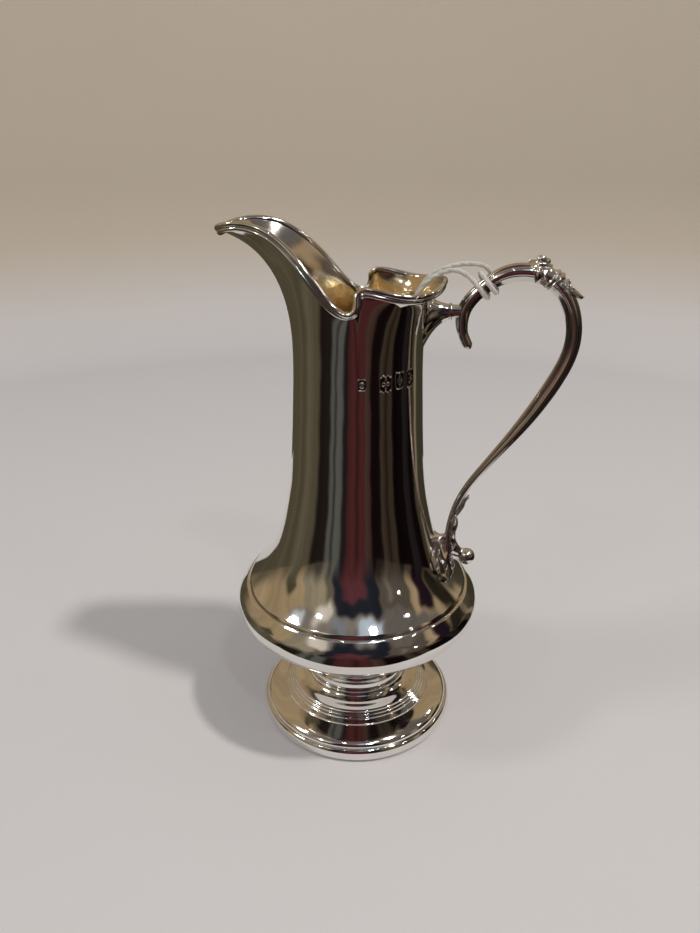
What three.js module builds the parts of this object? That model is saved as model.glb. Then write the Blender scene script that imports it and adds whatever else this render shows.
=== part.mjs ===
// A silver cream jug of claret-jug form: raised body with a pinched spout, spun foot,
// reeded lip wire and a cast scroll handle, with a cotton string and card tied to it.
// Millimetres, +Z up. X runs from the spout (-X) to the handle (+X).
// Everything is built round the jug's own axis and centred on its box at the end.
import * as THREE from 'three';

// ---------------------------------------------------------------- driving dimensions
const GAP = 0.3;              // clearance left where two pieces are soldered together
const SHEET = 0.9;            // thickness of the raised and spun silver sheet

const FOOT_RADIUS = 30.1;     // outside of the band round the foot
const FOOT_BAND = 4.1;        // height of that band
const KNOP_RADIUS = 14.5;     // the collar between foot and body
const KNOP_BOTTOM = 13.4;
const KNOP_TOP = 18.2;
const GIRDLE_RADIUS = 36.6;   // widest point of the body
const GIRDLE_HEIGHT = 40.5;
const SHOULDER_HEIGHT = 46.1; // where the neck is let into the lower bowl
const FLARE_HEIGHT = 108;     // above this the neck opens out into the mouth and spout
const RIM_WIRE = 1.9;         // height of the reeded wire down the outside of the lip
const BALL_RADIUS = 2.5;      // the ball at the bottom of the handle
const LEAF_EDGE = 0.25;       // thickness of the crest leaf at its edge
const LEAF_SWELL = 0.55;      // and how much thicker it is along the middle
const ROSETTE = { long: 1.6, wide: 1.4, high: 0.65 }; // half sizes of the knob on the leaf
const STRING = 1.1;           // diameter of the cotton string

// ---------------------------------------------------------------- materials
const SILVER = { color: 0xc9c8c4, metalness: 1.0, roughness: 0.12 };
const CAST_SILVER = { color: 0xb9b6b0, metalness: 1.0, roughness: 0.2 };
const COTTON = { color: 0xe6e1d6, metalness: 0.0, roughness: 0.9 };
const CARD = { color: 0xe9e3d2, metalness: 0.0, roughness: 0.85 };

// ---------------------------------------------------------------- outlines
// Half of the lip, from the tip of the spout round one side to the handle.
// The spout's edge dips before a sharp fold, where it steps up to the round mouth.
const HALF_LIP = [
  [-36.4, 0.0, 147.0],
  [-35.3, 4.9, 147.8],
  [-32.2, 8.7, 148.8],
  [-28.0, 9.9, 149.2],
  [-22.4, 11.5, 147.8],
  [-17.5, 12.9, 145.0],
  [-12.2, 15.2, 140.1],
  [-7.2, 16.9, 134.1],
  [-3.4, 17.9, 130.2],
  [-0.6, 18.7, 129.0],
  [1.3, 19.0, 129.8],
  [2.0, 18.7, 131.7],
  [1.7, 18.1, 133.8],
  [2.7, 17.6, 135.0],
  [4.8, 17.6, 135.2],
  [8.4, 17.8, 134.5],
  [12.6, 17.4, 133.5],
  [17.0, 15.2, 133.3],
  [20.9, 9.4, 134.0],
  [22.6, 0.0, 134.9],
];

// Radius and height of the neck below the flare.
const NECK = [
  [33.2, SHOULDER_HEIGHT + GAP],
  [29.5, 50.0],
  [25.9, 55.0],
  [23.3, 61.0],
  [21.2, 69.0],
  [19.5, 78.0],
  [18.4, 91.0],
  [17.6, FLARE_HEIGHT],
];

// Centreline of the handle in the XZ plane with its half thickness (x, half, z),
// from the tip of the spur, over the crest and down to the shoulder.
const SCROLL = [
  [29.5, 0.4, 117.5],
  [27.4, 1.4, 122.3],
  [27.7, 1.8, 128.0],
  [31.9, 1.85, 133.3],
  [37.6, 2.2, 136.8],
  [44.5, 2.3, 137.1],
  [50.5, 2.15, 134.0],
  [54.6, 2.0, 127.4],
  [55.4, 2.0, 119.0],
  [52.5, 2.05, 110.3],
  [46.4, 1.85, 99.3],
  [38.6, 1.3, 88.0],
  [31.4, 1.05, 77.4],
  [28.1, 1.0, 69.4],
  [27.0, 1.0, 63.4],
];

// Route of the string: out of the mouth, over the lip, twice round the handle and back.
const STRING_ROUTE = [
  [11.5, -1.6, 113.0],
  [12.9, -1.6, 122.0],
  [14.9, -1.6, 130.2],
  [17.8, -1.6, 134.9],
  [21.4, -1.5, 137.2],
  [25.1, -1.7, 137.8],
  [28.6, -2.4, 136.0],
  [31.1, -3.2, 133.4],
  [32.9, -1.6, 131.3],
  [33.2, 1.6, 131.6],
  [32.1, 3.2, 134.1],
  [31.0, 1.6, 136.6],
  [31.4, -1.6, 136.9],
  [33.2, -3.2, 134.7],
  [35.0, -1.6, 132.6],
  [35.3, 1.6, 132.9],
  [34.2, 3.2, 135.4],
  [32.5, 2.2, 138.2],
  [28.4, 1.6, 139.1],
  [24.6, 1.5, 138.7],
  [20.9, 1.4, 137.4],
  [17.4, 1.4, 134.9],
  [14.7, 1.4, 129.8],
  [12.9, 1.4, 122.0],
  [11.5, 1.4, 113.0],
];

// ---------------------------------------------------------------- helpers
const jug = new THREE.Group();

// Moves every vertex to place(point, u, v), with the faces left looking outward.
function shaped(geometry, place) {
  const position = geometry.attributes.position;
  const uv = geometry.attributes.uv;
  const point = new THREE.Vector3();
  for (let i = 0; i < position.count; i += 1) {
    point.fromBufferAttribute(position, i);
    const moved = place(point.clone(), uv.getX(i), uv.getY(i));
    position.setXYZ(i, moved.x, moved.y, moved.z);
  }
  geometry.deleteAttribute('normal');
  if (volume(geometry) < 0) {
    turnInsideOut(geometry);
  }
  geometry.computeVertexNormals();
  return geometry;
}

function volume(geometry) {
  const index = geometry.index;
  const corner = [new THREE.Vector3(), new THREE.Vector3(), new THREE.Vector3()];
  let total = 0;
  for (let i = 0; i < index.count; i += 3) {
    corner.forEach((c, k) => c.fromBufferAttribute(geometry.attributes.position, index.getX(i + k)));
    total += corner[0].dot(corner[1].cross(corner[2])) / 6;
  }
  return total;
}

function turnInsideOut(geometry) {
  const index = geometry.index;
  for (let i = 0; i < index.count; i += 3) {
    const first = index.getX(i);
    index.setX(i, index.getX(i + 2));
    index.setX(i + 2, first);
  }
}

function add(name, geometry, finish) {
  const mesh = new THREE.Mesh(geometry, new THREE.MeshStandardMaterial(finish));
  mesh.name = name;
  jug.add(mesh);
  return mesh;
}

// Turns a closed or axis-to-axis outline of [radius, height] points about Z.
function turned(outline, segments) {
  const points = outline.map(([radius, height]) => new THREE.Vector2(radius, height));
  const lathe = new THREE.LatheGeometry(points, segments);
  return shaped(lathe, (p) => new THREE.Vector3(p.z, p.x, p.y));
}

// Adds the inside of a sheet to its outside outline, so that the whole is closed.
// Nothing of the inside goes lower than the outline's own first point.
function sheetOutline(outside, thickness) {
  const floor = outside[0][1];
  const inside = outside.map((point, i) => {
    const before = outside[Math.max(i - 1, 0)];
    const after = outside[Math.min(i + 1, outside.length - 1)];
    const along = new THREE.Vector2(after[0] - before[0], after[1] - before[1]).normalize();
    const height = Math.max(point[1] + along.x * thickness, floor);
    return [Math.max(point[0] - along.y * thickness, 0), height];
  });
  return [...outside, ...inside.reverse(), outside[0]];
}

// ---------------------------------------------------------------- foot
function buildFoot() {
  const band = [
    [27.4, 0.0],
    [FOOT_RADIUS - 0.9, 0.0],
    [FOOT_RADIUS - 0.2, 0.5],
    [FOOT_RADIUS, 1.8],
    [FOOT_RADIUS - 0.1, 3.2],
    [FOOT_RADIUS - 0.6, FOOT_BAND],
    [27.4, FOOT_BAND],
    [27.4, 0.0],
  ];
  add('foot_rim_wire', turned(band, 56), SILVER);

  const dome = [
    [29.0, FOOT_BAND + GAP],
    [28.8, 4.8],
    [28.2, 5.4],
    [27.2, 6.1],
    [25.8, 6.9],
    [24.3, 7.5],
    [23.1, 7.8],
    [22.8, 8.3],
    [22.1, 8.9],
    [21.5, 9.6],
    [20.7, 10.2],
    [20.3, 10.6],
    [18.6, 11.0],
    [16.8, 11.5],
    [15.5, 12.3],
    [14.9, 13.0],
  ];
  add('foot_dome', turned(sheetOutline(dome, SHEET), 48), SILVER);

  const knop = [
    [13.4, KNOP_BOTTOM],
    [KNOP_RADIUS + 0.6, KNOP_BOTTOM],
    [KNOP_RADIUS + 0.7, KNOP_BOTTOM + 0.5],
    [KNOP_RADIUS + 0.1, KNOP_BOTTOM + 1.1],
    [KNOP_RADIUS - 0.1, KNOP_BOTTOM + 2.6],
    [KNOP_RADIUS + 0.1, KNOP_TOP],
    [13.4, KNOP_TOP],
    [13.4, KNOP_BOTTOM],
  ];
  add('stem_collar', turned(knop, 48), SILVER);
}

// ---------------------------------------------------------------- lower bowl
function buildBowl() {
  const underside = [
    [0.0, KNOP_TOP + GAP],
    [KNOP_RADIUS, KNOP_TOP + GAP],
    [22.5, 25.2],
    [30.9, 32.5],
  ];
  const girdle = [
    [34.5, 36.0],
    [36.1, 38.6],
    [GIRDLE_RADIUS, GIRDLE_HEIGHT],
    [36.3, 42.0],
    [35.5, 43.6],
    [34.4, 45.0],
    [33.1, SHOULDER_HEIGHT],
  ];
  const outside = [...underside, ...girdle];
  const closed = sheetOutline(outside, SHEET);
  closed.pop();
  closed[closed.length - 1][0] = 0;
  add('lower_bowl', turned(closed, 56), SILVER);
}

// ---------------------------------------------------------------- neck, mouth and spout
const mirroredLip = HALF_LIP.slice(1, -1).reverse().map(([x, y, z]) => [x, -y, z]);
const lipPoints = [...HALF_LIP, ...mirroredLip].map(([x, y, z]) => new THREE.Vector3(x, y, z));
const lip = new THREE.CatmullRomCurve3(lipPoints, true, 'centripetal');
const neckOutline = new THREE.SplineCurve(NECK.map(([r, z]) => new THREE.Vector2(r, z)));
const NECK_SHARE = 0.5;       // part of the wall's height parameter below the flare

function lipPoint(u) {
  return lip.getPoint(u - Math.floor(u));
}

// Which way the wall below a place on the lip faces. It is evened out over the next
// points, so that the fold's overhang stays at the lip and the neck below is plain.
function facing(u) {
  const sum = new THREE.Vector2();
  [-1, 0, 1].forEach((k) => {
    const near = lipPoint(u + k / lipPoints.length);
    sum.add(new THREE.Vector2(near.x, near.y).normalize());
  });
  return sum.normalize();
}

// A point of the outside of the wall: u goes round the lip, v from shoulder to lip.
function wall(u, v) {
  const side = facing(u);
  if (v <= NECK_SHARE) {
    const p = neckOutline.getPoint(v / NECK_SHARE);
    return new THREE.Vector3(p.x * side.x, p.x * side.y, p.y);
  }
  const edge = lipPoint(u);
  const rise = (v - NECK_SHARE) / (1 - NECK_SHARE);
  const opening = 0.75 * rise ** 3 + 0.25 * rise ** 9;
  const neckRadius = NECK[NECK.length - 1][0] - 0.3 * rise * (2 - rise);
  return new THREE.Vector3(
    THREE.MathUtils.lerp(neckRadius * side.x, edge.x, opening),
    THREE.MathUtils.lerp(neckRadius * side.y, edge.y, opening),
    THREE.MathUtils.lerp(FLARE_HEIGHT, edge.z, rise),
  );
}

// Outward normal and upward direction of the wall, evened out over a short stretch.
function wallFrame(u, v) {
  const span = 0.012;
  const low = Math.max(v - 0.02, 0);
  const high = Math.min(v + 0.02, 1);
  const round = wall(u + span, v).sub(wall(u - span, v));
  const up = wall(u, high).sub(wall(u, low)).normalize();
  const out = up.clone().cross(round).normalize();
  const middle = wall(u, v);
  if (out.x * middle.x + out.y * middle.y < 0) {
    out.negate();
  }
  return { up, out };
}

function buildBody() {
  const rows = [];
  const steps = [0, 1, 2, 3, 4, 5, 6.5, 8, 10].map((k) => (k / 10) * NECK_SHARE);
  const flare = [0.22, 0.42, 0.57, 0.69, 0.79, 0.87, 0.94, 1].map((k) => NECK_SHARE + k * (1 - NECK_SHARE));
  const heights = [...steps, ...flare];
  heights.forEach((v) => rows.push({ v, inset: 0 }));
  [...heights].reverse().forEach((v) => rows.push({ v, inset: SHEET }));
  rows.push(rows[0]);
  const straight = rows.map((row) => new THREE.Vector2(20 - row.inset, 50 + 90 * row.v));
  const lathe = new THREE.LatheGeometry(straight, 2 * lipPoints.length);
  const last = rows.length - 1;
  const body = shaped(lathe, (p, u, rowShare) => {
    const row = rows[Math.round(rowShare * last)];
    const turn = Math.round(u * 2 * lipPoints.length) / (2 * lipPoints.length);
    const place = wall(turn, row.v);
    return place.addScaledVector(wallFrame(turn, row.v).out, -row.inset);
  });
  add('upper_body', body, SILVER);
}

// The wire is a ring with two reeds, laid against the outside of the lip.
function buildLipWire() {
  const around = 2 * lipPoints.length;
  const section = [
    [GAP, -0.3],
    [0.9, -0.2],
    [1.25, 0.3],
    [0.95, 0.75],
    [1.2, 1.2],
    [0.9, 1.6],
    [GAP, RIM_WIRE - 0.3],
  ];
  const ring = new THREE.TorusGeometry(20, 1, section.length, around);
  const wire = shaped(ring, (p, u, v) => {
    const turn = Math.round(u * around) / around;
    const [out, down] = section[Math.round(v * section.length) % section.length];
    const frame = wallFrame(turn, 1);
    return wall(turn, 1).addScaledVector(frame.out, out).addScaledVector(frame.up, -down);
  });
  add('lip_wire', wire, SILVER);
}

// ---------------------------------------------------------------- handle
const scroll = new THREE.CatmullRomCurve3(
  SCROLL.map(([x, half, z]) => new THREE.Vector3(x, half, z)), false, 'centripetal');

// A point outside the scroll: along runs from spur to shoulder, angle 0 is the outer
// side of the bend, and proud is the height above the scroll's own surface.
function onScroll(along, angle, proud) {
  const here = scroll.getPoint(along);
  const ahead = scroll.getPoint(Math.min(along + 0.004, 1));
  const behind = scroll.getPoint(Math.max(along - 0.004, 0));
  const heading = new THREE.Vector2(ahead.x - behind.x, ahead.z - behind.z).normalize();
  const radius = here.y + proud;
  const outward = Math.cos(angle) * radius;
  return new THREE.Vector3(
    here.x - heading.y * outward,
    Math.sin(angle) * radius * 1.08,
    here.z + heading.x * outward,
  );
}

// A closed pad lying on the scroll between two places along it. height(a, b) gives its
// thickness, with a from 0 to 1 along it and b from -1 to 1 across it.
function padOnScroll(from, to, spread, height) {
  const box = new THREE.BoxGeometry(1, 1, 1, 10, 8, 1);
  return shaped(box, (p) => {
    const a = p.x + 0.5;
    const b = 2 * p.y;
    const top = p.z > 0 ? Math.max(height(a, b), 0.15) : 0;
    return onScroll(from + (to - from) * a, b * spread(a), GAP + top);
  });
}

function buildScroll() {
  const bar = new THREE.CylinderGeometry(1, 1, 1, 12, 56);
  const body = shaped(bar, (p) => {
    const along = 0.5 - p.y;
    const reach = Math.hypot(p.x, p.z);
    const angle = Math.atan2(p.x, p.z);
    const skin = onScroll(along, angle, 0);
    const core = scroll.getPoint(along);
    return new THREE.Vector3(core.x, 0, core.z).lerp(skin, reach);
  });
  add('handle_scroll', body, CAST_SILVER);
}

function buildCrest() {
  const leaf = padOnScroll(0.325, 0.405, (a) => 1.25 * Math.sin(Math.PI * (0.15 + 0.7 * a)) ** 0.7, (a, b) => {
    const ribs = 0.15 * Math.cos(5 * Math.PI * b) * (1 - b * b);
    return LEAF_EDGE + LEAF_SWELL * Math.sin(Math.PI * a) * (1 - b * b) + ribs;
  });
  add('crest_leaf', leaf, CAST_SILVER);

  const knob = new THREE.SphereGeometry(1, 12, 8);
  const leafTop = 0.15 + LEAF_EDGE + LEAF_SWELL + 2 * GAP;
  const seat = onScroll(0.363, 0, leafTop + ROSETTE.high);
  const rosette = shaped(knob, (p) => new THREE.Vector3(
    seat.x + ROSETTE.long * p.x, ROSETTE.wide * p.y, seat.z + ROSETTE.high * p.z));
  add('crest_rosette', rosette, CAST_SILVER);

  [0.415, 0.433].forEach((along, i) => {
    const ring = new THREE.TorusGeometry(2, 0.5, 6, 20);
    const band = shaped(ring, (p, u, v) => {
      const across = 0.55 * Math.sin(2 * Math.PI * v);
      const proud = GAP + 0.45 + 0.42 * Math.cos(2 * Math.PI * v);
      return onScroll(along + across / 150, 2 * Math.PI * (u % 1), proud);
    });
    add(`crest_band_${i + 1}`, band, CAST_SILVER);
  });

  const leafSpread = (a) => 0.25 + 0.8 * Math.sin(Math.PI * (0.25 + 0.72 * a));
  const back = padOnScroll(0.444, 0.484, leafSpread, (a, b) => {
    const lift = 1.7 * a ** 2.2;
    return 0.45 + 0.4 * (1 - b * b) * (1 - a) + lift;
  });
  add('back_leaf', back, CAST_SILVER);
}

// The outside of the round neck in the XZ plane's direction, at a given height.
function neckRadiusAt(height) {
  let v = 0;
  while (v < 1 && wall(0.5, v).z < height) {
    v += 0.004;
  }
  return wall(0.5, v).x;
}

// Flared socket between the neck and the side of the scroll.
function buildUpperBracket() {
  const neckEnd = { z: 124.4, up: 6.4, down: 7.0, wide: 4.6 };
  const armEnd = { x: 25.2, z: 127.2, half: 1.7 };
  const horn = new THREE.CylinderGeometry(1, 1, 1, 16, 8);
  const socket = shaped(horn, (p) => {
    const along = p.y + 0.5;
    const ease = 1 - (1 - along) ** 2.6;
    const reach = p.x;
    const side = p.z;
    const tall = reach > 0 ? neckEnd.up : neckEnd.down;
    const z = THREE.MathUtils.lerp(neckEnd.z + tall * reach, armEnd.z + armEnd.half * reach, ease);
    const y = THREE.MathUtils.lerp(neckEnd.wide * side, armEnd.half * side, ease);
    const foot = neckEnd.z + tall * reach;
    const radius = neckRadiusAt(foot) + GAP + 0.05;
    const start = Math.sqrt(radius ** 2 - (neckEnd.wide * side) ** 2);
    return new THREE.Vector3(THREE.MathUtils.lerp(start, armEnd.x, along), y, z);
  });
  add('handle_upper_bracket', socket, CAST_SILVER);
}

// Shell-shaped plate on the shoulder under the end of the scroll.
function buildLowerBracket() {
  const top = 61.6;
  const bottom = 48.4;
  const plate = new THREE.BoxGeometry(1, 1, 1, 10, 12, 1);
  const shell = shaped(plate, (p) => {
    const fall = 0.5 - p.y;
    const across = 2 * p.x;
    const z = top + (bottom - top) * fall;
    const width = 1.6 + 9.4 * Math.sin(Math.PI * Math.min(0.08 + 0.62 * fall, 0.98)) ** 1.4;
    const radius = neckRadiusAt(z) + GAP + 0.08;
    const angle = (across * width) / radius;
    const crown = (1 - across * across) * (2.6 * (1 - fall) ** 1.3 + 0.5);
    const lift = p.z > 0 ? 0.35 + crown + 0.25 * Math.cos(3 * Math.PI * across) * fall : 0;
    return new THREE.Vector3((radius + lift) * Math.cos(angle), (radius + lift) * Math.sin(angle), z + 0.4 * lift);
  });
  add('handle_lower_bracket', shell, CAST_SILVER);
}

// Ball on a short neck, turned about a line that leans out from the lower bracket.
function buildBall() {
  const centre = new THREE.Vector3(32.7, 0, 54.9);
  const lean = THREE.MathUtils.degToRad(118);
  const outline = [
    [0.0, -4.3],
    [1.5, -4.3],
    [1.2, -3.2],
    [1.3, -2.15],
  ];
  for (let k = 2; k < 9; k += 1) {
    const turn = (Math.PI * k) / 9;
    outline.push([BALL_RADIUS * Math.sin(turn), -BALL_RADIUS * Math.cos(turn)]);
  }
  outline.push([0.0, BALL_RADIUS]);
  const points = outline.map(([radius, height]) => new THREE.Vector2(radius, height));
  const ball = shaped(new THREE.LatheGeometry(points, 16), (p) => {
    p.applyAxisAngle(new THREE.Vector3(1, 0, 0), Math.PI / 2);
    p.applyAxisAngle(new THREE.Vector3(0, 1, 0), lean);
    return p.add(centre);
  });
  add('ball_terminal', ball, CAST_SILVER);
}

// Forked sprig standing off the outside of the scroll's lower end.
function buildLowerLeaf() {
  const sprig = padOnScroll(0.995, 0.905, (a) => 0.95 * (1 - 0.6 * a), (a, b) => {
    const stand = 2.6 * a ** 1.8 + 0.7 * Math.sin(3 * Math.PI * a) ** 2;
    return 0.5 + stand * (1 - 0.35 * b * b);
  });
  add('lower_leaf', sprig, CAST_SILVER);
}

// ---------------------------------------------------------------- string and card
function buildTag() {
  const route = new THREE.CatmullRomCurve3(STRING_ROUTE.map((p) => new THREE.Vector3(...p)), false, 'centripetal');
  const round = new THREE.Shape();
  round.absarc(0, 0, STRING / 2, 0, 2 * Math.PI);
  const tube = new THREE.ExtrudeGeometry(round, {
    steps: 78,
    curveSegments: 4,
    extrudePath: route,
    bevelEnabled: false,
  });
  add('tag_string', tube, COTTON);

  const card = new THREE.BoxGeometry(0.6, 9, 15);
  card.translate(12.0, 0, 112.2 - 7.5);
  add('tag_card', card, CARD);
}

buildFoot();
buildBowl();
buildBody();
buildLipWire();
buildScroll();
buildCrest();
buildUpperBracket();
buildLowerBracket();
buildBall();
buildLowerLeaf();
buildTag();

// Stand the jug on the middle of its own box.
const box = new THREE.Box3().setFromObject(jug);
jug.position.x = -(box.min.x + box.max.x) / 2;

const part = new THREE.Group();
part.add(jug);

export default part;
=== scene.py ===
# A silver cream jug with its string and card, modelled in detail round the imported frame.
# Outlines are in millimetres about the jug's own axis: X from the spout (-X) to the handle
# (+X), Z up. to_frame() turns them into the row frame in metres.
import bpy
import math
import numpy as np
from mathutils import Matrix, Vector


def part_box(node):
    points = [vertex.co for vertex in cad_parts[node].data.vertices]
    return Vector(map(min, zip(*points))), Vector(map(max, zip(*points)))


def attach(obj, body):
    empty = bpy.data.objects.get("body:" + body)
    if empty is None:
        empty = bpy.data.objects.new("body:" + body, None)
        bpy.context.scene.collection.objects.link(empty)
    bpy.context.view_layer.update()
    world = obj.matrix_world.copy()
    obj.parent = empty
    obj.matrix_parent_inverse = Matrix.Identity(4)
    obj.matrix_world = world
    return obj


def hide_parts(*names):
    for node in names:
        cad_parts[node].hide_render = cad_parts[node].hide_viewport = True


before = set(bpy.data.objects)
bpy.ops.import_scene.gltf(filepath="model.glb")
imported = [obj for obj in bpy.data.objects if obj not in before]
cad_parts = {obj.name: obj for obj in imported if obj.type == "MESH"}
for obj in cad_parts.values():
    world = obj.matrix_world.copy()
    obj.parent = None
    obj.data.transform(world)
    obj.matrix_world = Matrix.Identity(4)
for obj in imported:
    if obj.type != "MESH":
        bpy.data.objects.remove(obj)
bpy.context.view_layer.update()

foot_low, foot_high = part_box("foot_rim_wire")
AXIS_X = (foot_low[0] + foot_high[0]) / 2  # the jug's axis, in the row frame
SHEET = 0.9  # thickness of the silver sheet
CAMERA_TURN = math.radians(7.0)
CAMERA_DIP = math.radians(23.66)


def to_frame(points):
    return np.asarray(points, float) * 0.001 + np.array([AXIS_X, 0.0, 0.0])


def new_object(name, data):
    obj = bpy.data.objects.new(name, data)
    bpy.context.scene.collection.objects.link(obj)
    return obj


# ------ camera
camera_data = bpy.data.cameras.new("camera")
camera_data.sensor_width = 36.0
camera_data.lens = 27.78
camera_data.clip_start = 0.01
camera_data.clip_end = 20.0
camera = new_object("camera", camera_data)
camera.location = to_frame([20.95, -188.25, 165.2])
camera.rotation_euler = (math.pi / 2 - CAMERA_DIP, 0.0, CAMERA_TURN)
bpy.context.scene.camera = camera


# ------ curves
class Curve:
    """A cubic through its points with no jump in curvature, open or closed."""

    def __init__(self, points, closed=False):
        p = np.asarray(points, float)
        if closed:
            p = np.vstack([p, p[:1]])
        step = np.sqrt(np.linalg.norm(np.diff(p, axis=0), axis=1))
        self.knots = np.concatenate([[0.0], np.cumsum(step)]) / step.sum()
        self.points = p
        self.closed = closed
        self.bend = self.solve()

    def solve(self):
        h = np.diff(self.knots)
        p = self.points
        n = len(p)
        slope = np.diff(p, axis=0) / h[:, None]
        a = np.zeros((n, n))
        b = np.zeros_like(p)
        for i in range(1, n - 1):
            a[i, i - 1:i + 2] = [h[i - 1], 2 * (h[i - 1] + h[i]), h[i]]
            b[i] = 6 * (slope[i] - slope[i - 1])
        if self.closed:
            a[0, 0], a[0, 1], a[0, n - 2] = 2 * (h[0] + h[-1]), h[0], h[-1]
            b[0] = 6 * (slope[0] - slope[-1])
            a[n - 1, 0], a[n - 1, n - 1] = 1, -1
        else:
            a[0, 0] = a[n - 1, n - 1] = 1
        return np.linalg.solve(a, b)

    def at(self, t):
        t = np.asarray(t, float)
        t = np.mod(t, 1.0) if self.closed else np.clip(t, 0.0, 1.0)
        k = np.clip(np.searchsorted(self.knots, t, side="right") - 1, 0, len(self.knots) - 2)
        h = (self.knots[k + 1] - self.knots[k])[..., None]
        w = (t - self.knots[k])[..., None]
        r = h - w
        p, m = self.points, self.bend
        cubic = (m[k] * r ** 3 + m[k + 1] * w ** 3) / (6 * h)
        return cubic + (p[k] / h - m[k] * h / 6) * r + (p[k + 1] / h - m[k + 1] * h / 6) * w

    def at_share(self, share):
        """The same place as on a curve that gives each of its spans an equal share."""
        spans = len(self.knots) - 1
        return np.interp(np.asarray(share, float) * spans, np.arange(spans + 1), self.knots)


def normalised(v):
    return v / np.maximum(np.linalg.norm(v, axis=-1, keepdims=True), 1e-12)


def smooth_step(x, low, high):
    s = np.clip((x - low) / (high - low), 0.0, 1.0)
    return s * s * (3 - 2 * s)


def bump_at(x, centre, width):
    return np.exp(-((x - centre) / width) ** 2)


def full_turn(count):
    """Angles in radians, evenly round a circle."""
    return np.arange(count) * 2 * math.pi / count


def xyz(x, y, z):
    return np.stack(np.broadcast_arrays(x, y, z), axis=-1)


def circles(radius, height, turn):
    """One ring of points about the upright axis for each radius and height."""
    r, h = np.asarray(radius)[:, None], np.asarray(height)[:, None]
    return xyz(r * np.cos(turn), r * np.sin(turn), h)


def grid_of(first, second):
    return np.meshgrid(first, second, indexing="ij")


def evened(values, reach):
    """A closed sequence of numbers with its detail shorter than reach taken out."""
    count = len(values)
    waves = np.fft.rfftfreq(count, 1.0 / count)
    keep = np.exp(-0.5 * (2 * math.pi * waves * reach) ** 2)
    keep = keep.reshape((-1,) + (1,) * (values.ndim - 1))
    return np.fft.irfft(np.fft.rfft(values, axis=0) * keep, n=count, axis=0)


def rounded(points, radius, steps):
    """A polyline with each corner cut back by up to radius and rounded."""
    p = [np.asarray(q, float) for q in points]
    out = [p[0]]
    for before, here, after in zip(p[:-2], p[1:-1], p[2:]):
        a, b = before - here, after - here
        cut = min(radius, 0.48 * np.linalg.norm(a), 0.48 * np.linalg.norm(b))
        start, end = here + normalised(a) * cut, here + normalised(b) * cut
        for s in np.linspace(0, 1, steps):
            out.append((1 - s) ** 2 * start + 2 * s * (1 - s) * here + s ** 2 * end)
    out.append(p[-1])
    return np.array(out)


def spline_through(points, count):
    return Curve(points).at(np.linspace(0, 1, count))


def arc(centre, radius, start, end, steps):
    """Points of an arc in the outline plane, with its angles in degrees from +R."""
    turn = np.radians(np.linspace(start, end, steps))
    return np.c_[centre[0] + radius * np.cos(turn), centre[1] + radius * np.sin(turn)]


# ------ meshes
def six_volumes(points, faces):
    """Six times the volume inside the faces, below zero where they look inwards."""
    f = np.asarray(faces)
    total = 0.0
    for j in range(1, f.shape[1] - 1):
        a, b, c = points[f[:, 0]], points[f[:, j]], points[f[:, j + 1]]
        total += float(np.einsum("ij,ij->i", a, np.cross(b, c)).sum())
    return total


class Patchwork:
    """Collects grids of points, in millimetres, into one mesh."""

    def __init__(self, *first, **how):
        self.points, self.faces, self.uvs, self.materials = [], [], [], []
        self.count = 0
        if first:
            self.add(*first, **how)

    def add(self, grid, looped=False, material=0):
        """grid is rows x columns x 3, and each row closes on itself. looped joins the last row
        to the first. Otherwise each of the two is closed with a fan about its middle.
        material is one slot number, or one for each row."""
        rows, cols = grid.shape[:2]
        i, j = grid_of(np.arange(rows if looped else rows - 1), np.arange(cols))
        i, j = i.ravel(), j.ravel()
        i2, j2 = (i + 1) % rows, (j + 1) % cols
        quads = np.stack([i * cols + j, i * cols + j2, i2 * cols + j2, i2 * cols + j], axis=1)
        u0, u1, v0, v1 = j / cols, (j + 1) / cols, i / rows, (i + 1) / rows
        corners = [np.stack(c, axis=1) for c in ((u0, v0), (u1, v0), (u1, v1), (u0, v1))]
        slots = np.broadcast_to(material, rows)[i]
        points = grid.reshape(-1, 3)
        groups = [(quads, np.stack(corners, axis=1), slots)]
        k = np.arange(cols)
        after = (k + 1) % cols
        for row, a, b in () if looped else ((0, after, k), (rows - 1, k, after)):
            fan = np.stack([row * cols + a, row * cols + b, np.full(cols, len(points))], axis=1)
            uv = np.stack([k / cols, np.full(cols, row / rows)], axis=1)
            groups.append((fan, np.repeat(uv[:, None], 3, axis=1), np.full(cols, slots[0])))
            points = np.vstack([points, grid[row].mean(axis=0)])
        inside_out = sum(six_volumes(points, faces) for faces, _, _ in groups) < 0
        for faces, uv, slots in groups:
            if inside_out:
                faces, uv = faces[:, ::-1], uv[:, ::-1]
            self.faces.extend((faces + self.count).tolist())
            self.uvs.append(uv.reshape(-1, 2))
            self.materials.append(slots)
        self.points.append(points)
        self.count += len(points)

    def add_leaf(self, top, under):
        """A plate between two grids of the same size."""
        self.add(np.concatenate([top, under[:, ::-1]], axis=1))

    def build(self, name):
        mesh = bpy.data.meshes.new(name)
        mesh.from_pydata(to_frame(np.vstack(self.points)).tolist(), [], self.faces)
        layer = mesh.uv_layers.new(name="UVMap")
        layer.data.foreach_set("uv", np.concatenate(self.uvs).ravel())
        mesh.polygons.foreach_set("material_index", np.concatenate(self.materials).astype(int))
        mesh.polygons.foreach_set("use_smooth", [True] * len(mesh.polygons))
        mesh.update()
        return new_object(name, mesh)


def piece(obj, materials, nodes=()):
    """Gives a finished object its materials and its place in the frame."""
    for m in materials:
        obj.data.materials.append(m)
    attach(obj, "root")
    if nodes:
        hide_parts(*nodes)
    return obj


def cast(work, name, nodes):
    piece(work.build(name), [CAST], nodes)


def turned(name, outline, nodes):
    """A silver piece whose outline of [radius, height] is turned about the jug's axis."""
    radius, height = np.asarray(outline, float).T
    work = Patchwork(circles(radius, height, full_turn(256)), looped=True)
    piece(work.build(name), [SILVER], nodes)


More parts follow.
